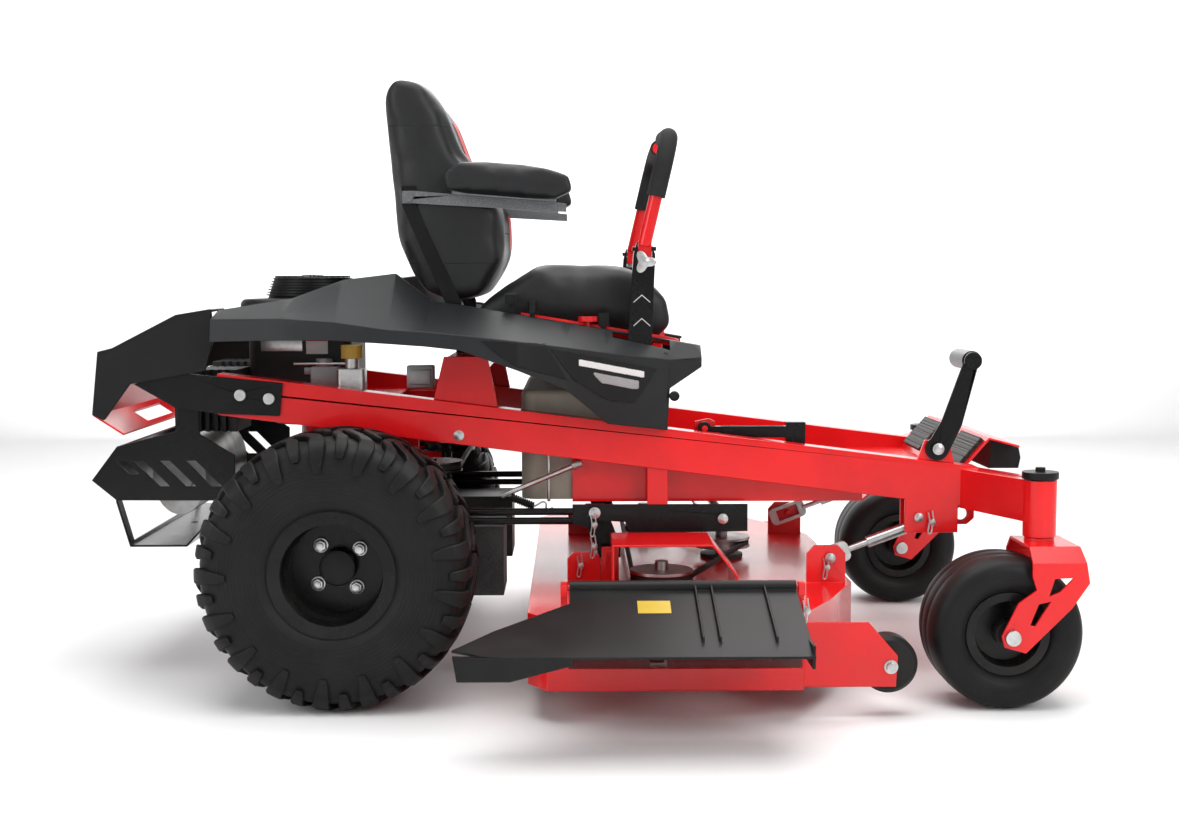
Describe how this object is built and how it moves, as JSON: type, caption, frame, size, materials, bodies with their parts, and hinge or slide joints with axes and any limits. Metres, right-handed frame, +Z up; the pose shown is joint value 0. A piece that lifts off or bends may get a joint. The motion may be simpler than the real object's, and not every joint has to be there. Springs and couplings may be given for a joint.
{
  "type": "zero turn mower",
  "caption": "Zero-turn riding mower with a side-discharge deck, bucket seat, twin lap bars, rear engine, drive wheels, front casters and a foot-lifted deck; its moving pieces are jointed.",
  "frame": {"origin": "on the ground under the middle of the whole machine's bounding box", "axes": "+X points forward from the engine to the casters, +Y points to the machine's left, +Z points up; the discharge chute is on -Y"},
  "size_m": [1.8546, 1.525, 1.18],
  "materials": {
    "red_paint": "gloss enamel",
    "black_paint": "satin powder coat",
    "black_plastic": "matte",
    "charcoal_plastic": "satin",
    "red_plastic": "gloss",
    "yellow_plastic": "satin",
    "beige_plastic": "satin",
    "tyre": "matte",
    "rubber": "matte",
    "vinyl": "satin",
    "steel": "zinc plated",
    "cast_metal": "painted",
    "aluminium": "cast",
    "grip_foam": "matte foam"
  },
  "bodies": {
    "chassis": {"frame_rails": "red_paint", "cross_members": "red_paint", "rear_frame_plates": "red_paint", "rear_hood": "red_plastic", "side_guards": "black_paint", "engine_guard": "black_paint", "engine_block": "cast_metal", "blower_housing": "black_plastic", "muffler": "steel", "oil_reservoir": "black_plastic", "pump_belt": "rubber", "transaxles": "cast_metal", "right_fender": "charcoal_plastic", "left_fender": "charcoal_plastic", "floor_pan": "red_paint", "foot_mats": "rubber", "fuel_tank": "beige_plastic", "pivot_brackets": "red_paint", "lift_frame": "black_paint"},
    "crankshaft": {"crank_pulley": "steel"},
    "right_pump": {"right_pump_pulley": "black_paint"},
    "left_pump": {"left_pump_pulley": "black_paint"},
    "right_wheel": {"right_drive_tyre": "tyre", "right_drive_rim": "black_paint"},
    "left_wheel": {"left_drive_tyre": "tyre", "left_drive_rim": "black_paint"},
    "right_fork": {"right_caster_fork": "red_paint"},
    "left_fork": {"left_caster_fork": "red_paint"},
    "right_caster": {"right_caster_tyre": "tyre", "right_caster_rim": "black_paint"},
    "left_caster": {"left_caster_tyre": "tyre", "left_caster_rim": "black_paint"},
    "tank_cap": {"fuel_cap": "black_plastic"},
    "pedal": {"lift_pedal": "black_paint"},
    "arms": {"lift_arms": "black_paint"},
    "links": {"front_links": "steel"},
    "deck": {"deck_shell": "red_paint", "spindle_housings": "cast_metal", "deck_belt": "rubber", "lift_links": "black_paint"},
    "right_spindle": {"right_blade": "steel"},
    "centre_spindle": {"centre_blade": "steel"},
    "left_spindle": {"left_blade": "steel"},
    "chute": {"discharge_chute": "black_plastic"},
    "right_gauge": {"right_gauge_wheel": "black_plastic"},
    "left_gauge": {"left_gauge_wheel": "black_plastic"},
    "right_lever": {"right_lever_base": "black_paint"},
    "left_lever": {"left_lever_base": "black_paint"},
    "right_bar": {"right_lap_bar": "red_paint"},
    "left_bar": {"left_lap_bar": "red_paint"},
    "seat": {"seat_pan": "black_paint", "seat_cushion": "vinyl", "seat_back": "vinyl"},
    "right_arm": {"right_armrest": "steel"},
    "left_arm": {"left_armrest": "steel"},
    "pto": {"pto_knob": "red_plastic"},
    "choke": {"choke_knob": "black_plastic"},
    "ignition": {"key": "black_plastic"},
    "throttle": {"throttle_lever": "black_plastic"},
    "height": {"height_lever": "black_paint"}
  },
  "joints": [
    {"name": "right_wheel_spin", "type": "hinge", "parent": "chassis", "child": "right_wheel", "pos_m": [-0.42835, -0.3275, 0.254], "axis": [0, 1, 0], "continuous": true},
    {"name": "left_wheel_spin", "type": "hinge", "parent": "chassis", "child": "left_wheel", "pos_m": [-0.42835, 0.5825, 0.254], "axis": [0, 1, 0], "continuous": true},
    {"name": "right_fork_swivel", "type": "hinge", "parent": "chassis", "child": "right_fork", "pos_m": [0.85765, -0.3625, 0.3], "axis": [0, 0, 1], "continuous": true},
    {"name": "left_fork_swivel", "type": "hinge", "parent": "chassis", "child": "left_fork", "pos_m": [0.85765, 0.6175, 0.3], "axis": [0, 0, 1], "continuous": true},
    {"name": "right_caster_spin", "type": "hinge", "parent": "right_fork", "child": "right_caster", "pos_m": [0.78765, -0.3625, 0.1397], "axis": [0, 1, 0], "continuous": true},
    {"name": "left_caster_spin", "type": "hinge", "parent": "left_fork", "child": "left_caster", "pos_m": [0.78765, 0.6175, 0.1397], "axis": [0, 1, 0], "continuous": true},
    {"name": "crank_turn", "type": "hinge", "parent": "chassis", "child": "crankshaft", "pos_m": [-0.55735, 0.1275, 0.41], "axis": [0, 0, 1], "continuous": true},
    {"name": "right_pump_turn", "type": "hinge", "parent": "chassis", "child": "right_pump", "pos_m": [-0.27835, -0.0775, 0.41], "axis": [0, 0, 1], "continuous": true},
    {"name": "left_pump_turn", "type": "hinge", "parent": "chassis", "child": "left_pump", "pos_m": [-0.27835, 0.3325, 0.41], "axis": [0, 0, 1], "continuous": true},
    {"name": "cap_turn", "type": "hinge", "parent": "chassis", "child": "tank_cap", "pos_m": [0.00165, 0.4195, 0.716], "axis": [0, 0.3842, 0.9232], "range_deg": [0, 180]},
    {"name": "pedal_tilt", "type": "hinge", "parent": "chassis", "child": "pedal", "pos_m": [0.70865, 0.1275, 0.452], "axis": [0, 1, 0], "range_deg": [-20, 30]},
    {"name": "deck_lift", "type": "slide", "parent": "chassis", "child": "deck", "axis": [0, 0, 1], "range_m": [-0.031, 0.0461]},
    {"name": "arm_swing", "type": "hinge", "parent": "chassis", "child": "arms", "pos_m": [0.29465, 0.1275, 0.317], "axis": [0, 1, 0], "range_deg": [-7, 10.5]},
    {"name": "link_swing", "type": "hinge", "parent": "chassis", "child": "links", "pos_m": [0.69665, 0.1275, 0.312], "axis": [0, 1, 0], "range_deg": [-9, 13.5]},
    {"name": "centre_blade_spin", "type": "hinge", "parent": "deck", "child": "centre_spindle", "pos_m": [0.31965, 0.1275, 0.09], "axis": [0, 0, 1], "continuous": true},
    {"name": "right_blade_spin", "type": "hinge", "parent": "deck", "child": "right_spindle", "pos_m": [0.16965, -0.2725, 0.09], "axis": [0, 0, 1], "continuous": true},
    {"name": "left_blade_spin", "type": "hinge", "parent": "deck", "child": "left_spindle", "pos_m": [0.16965, 0.5275, 0.09], "axis": [0, 0, 1], "continuous": true},
    {"name": "chute_lift", "type": "hinge", "parent": "deck", "child": "chute", "pos_m": [0.19665, -0.5185, 0.246], "axis": [-1, 0, 0], "range_deg": [0, 75]},
    {"name": "right_gauge_spin", "type": "hinge", "parent": "deck", "child": "right_gauge", "pos_m": [0.56565, -0.4725, 0.094], "axis": [0, 1, 0], "continuous": true},
    {"name": "left_gauge_spin", "type": "hinge", "parent": "deck", "child": "left_gauge", "pos_m": [0.56565, 0.7275, 0.094], "axis": [0, 1, 0], "continuous": true},
    {"name": "right_lever_drive", "type": "hinge", "parent": "chassis", "child": "right_lever", "pos_m": [0.13165, -0.1775, 0.6], "axis": [0, 1, 0], "range_deg": [-12, 12]},
    {"name": "left_lever_drive", "type": "hinge", "parent": "chassis", "child": "left_lever", "pos_m": [0.13165, 0.4325, 0.6], "axis": [0, 1, 0], "range_deg": [-12, 12]},
    {"name": "right_bar_swing", "type": "hinge", "parent": "right_lever", "child": "right_bar", "pos_m": [0.14065, -0.1775, 0.838], "axis": [1, 0, 0], "range_deg": [0, 30]},
    {"name": "left_bar_swing", "type": "hinge", "parent": "left_lever", "child": "left_bar", "pos_m": [0.14065, 0.4325, 0.838], "axis": [-1, 0, 0], "range_deg": [0, 30]},
    {"name": "seat_tilt", "type": "hinge", "parent": "chassis", "child": "seat", "pos_m": [0.17165, 0.1275, 0.645], "axis": [0, 1, 0], "range_deg": [0, 20]},
    {"name": "right_arm_fold", "type": "hinge", "parent": "seat", "child": "right_arm", "pos_m": [-0.31635, -0.1325, 0.94], "axis": [0, -1, 0], "range_deg": [0, 100]},
    {"name": "left_arm_fold", "type": "hinge", "parent": "seat", "child": "left_arm", "pos_m": [-0.31635, 0.3875, 0.94], "axis": [0, -1, 0], "range_deg": [0, 100]},
    {"name": "pto_pull", "type": "slide", "parent": "chassis", "child": "pto", "axis": [0, 0, 1], "range_m": [0, 0.012]},
    {"name": "choke_pull", "type": "slide", "parent": "chassis", "child": "choke", "axis": [0, 0, 1], "range_m": [0, 0.02]},
    {"name": "key_turn", "type": "hinge", "parent": "chassis", "child": "ignition", "pos_m": [0.06365, -0.1425, 0.7], "axis": [0, 0, 1], "range_deg": [0, 90]},
    {"name": "throttle_swing", "type": "hinge", "parent": "chassis", "child": "throttle", "pos_m": [-0.11635, -0.1425, 0.69], "axis": [0, 1, 0], "range_deg": [-15, 15]},
    {"name": "height_set", "type": "hinge", "parent": "chassis", "child": "height", "pos_m": [0.26165, 0.1275, 0.488], "axis": [0, -1, 0], "range_deg": [0, 15]}
  ],
  "couplings": [
    {"joint": "right_pump_turn", "follows": "crank_turn", "ratio": 1},
    {"joint": "left_pump_turn", "follows": "crank_turn", "ratio": 1},
    {"joint": "deck_lift", "follows": "pedal_tilt", "m_per_rad": 0.087},
    {"joint": "arm_swing", "follows": "pedal_tilt", "ratio": 0.348},
    {"joint": "link_swing", "follows": "pedal_tilt", "ratio": 0.446},
    {"joint": "right_blade_spin", "follows": "centre_blade_spin", "ratio": 1},
    {"joint": "left_blade_spin", "follows": "centre_blade_spin", "ratio": 1}
  ]
}
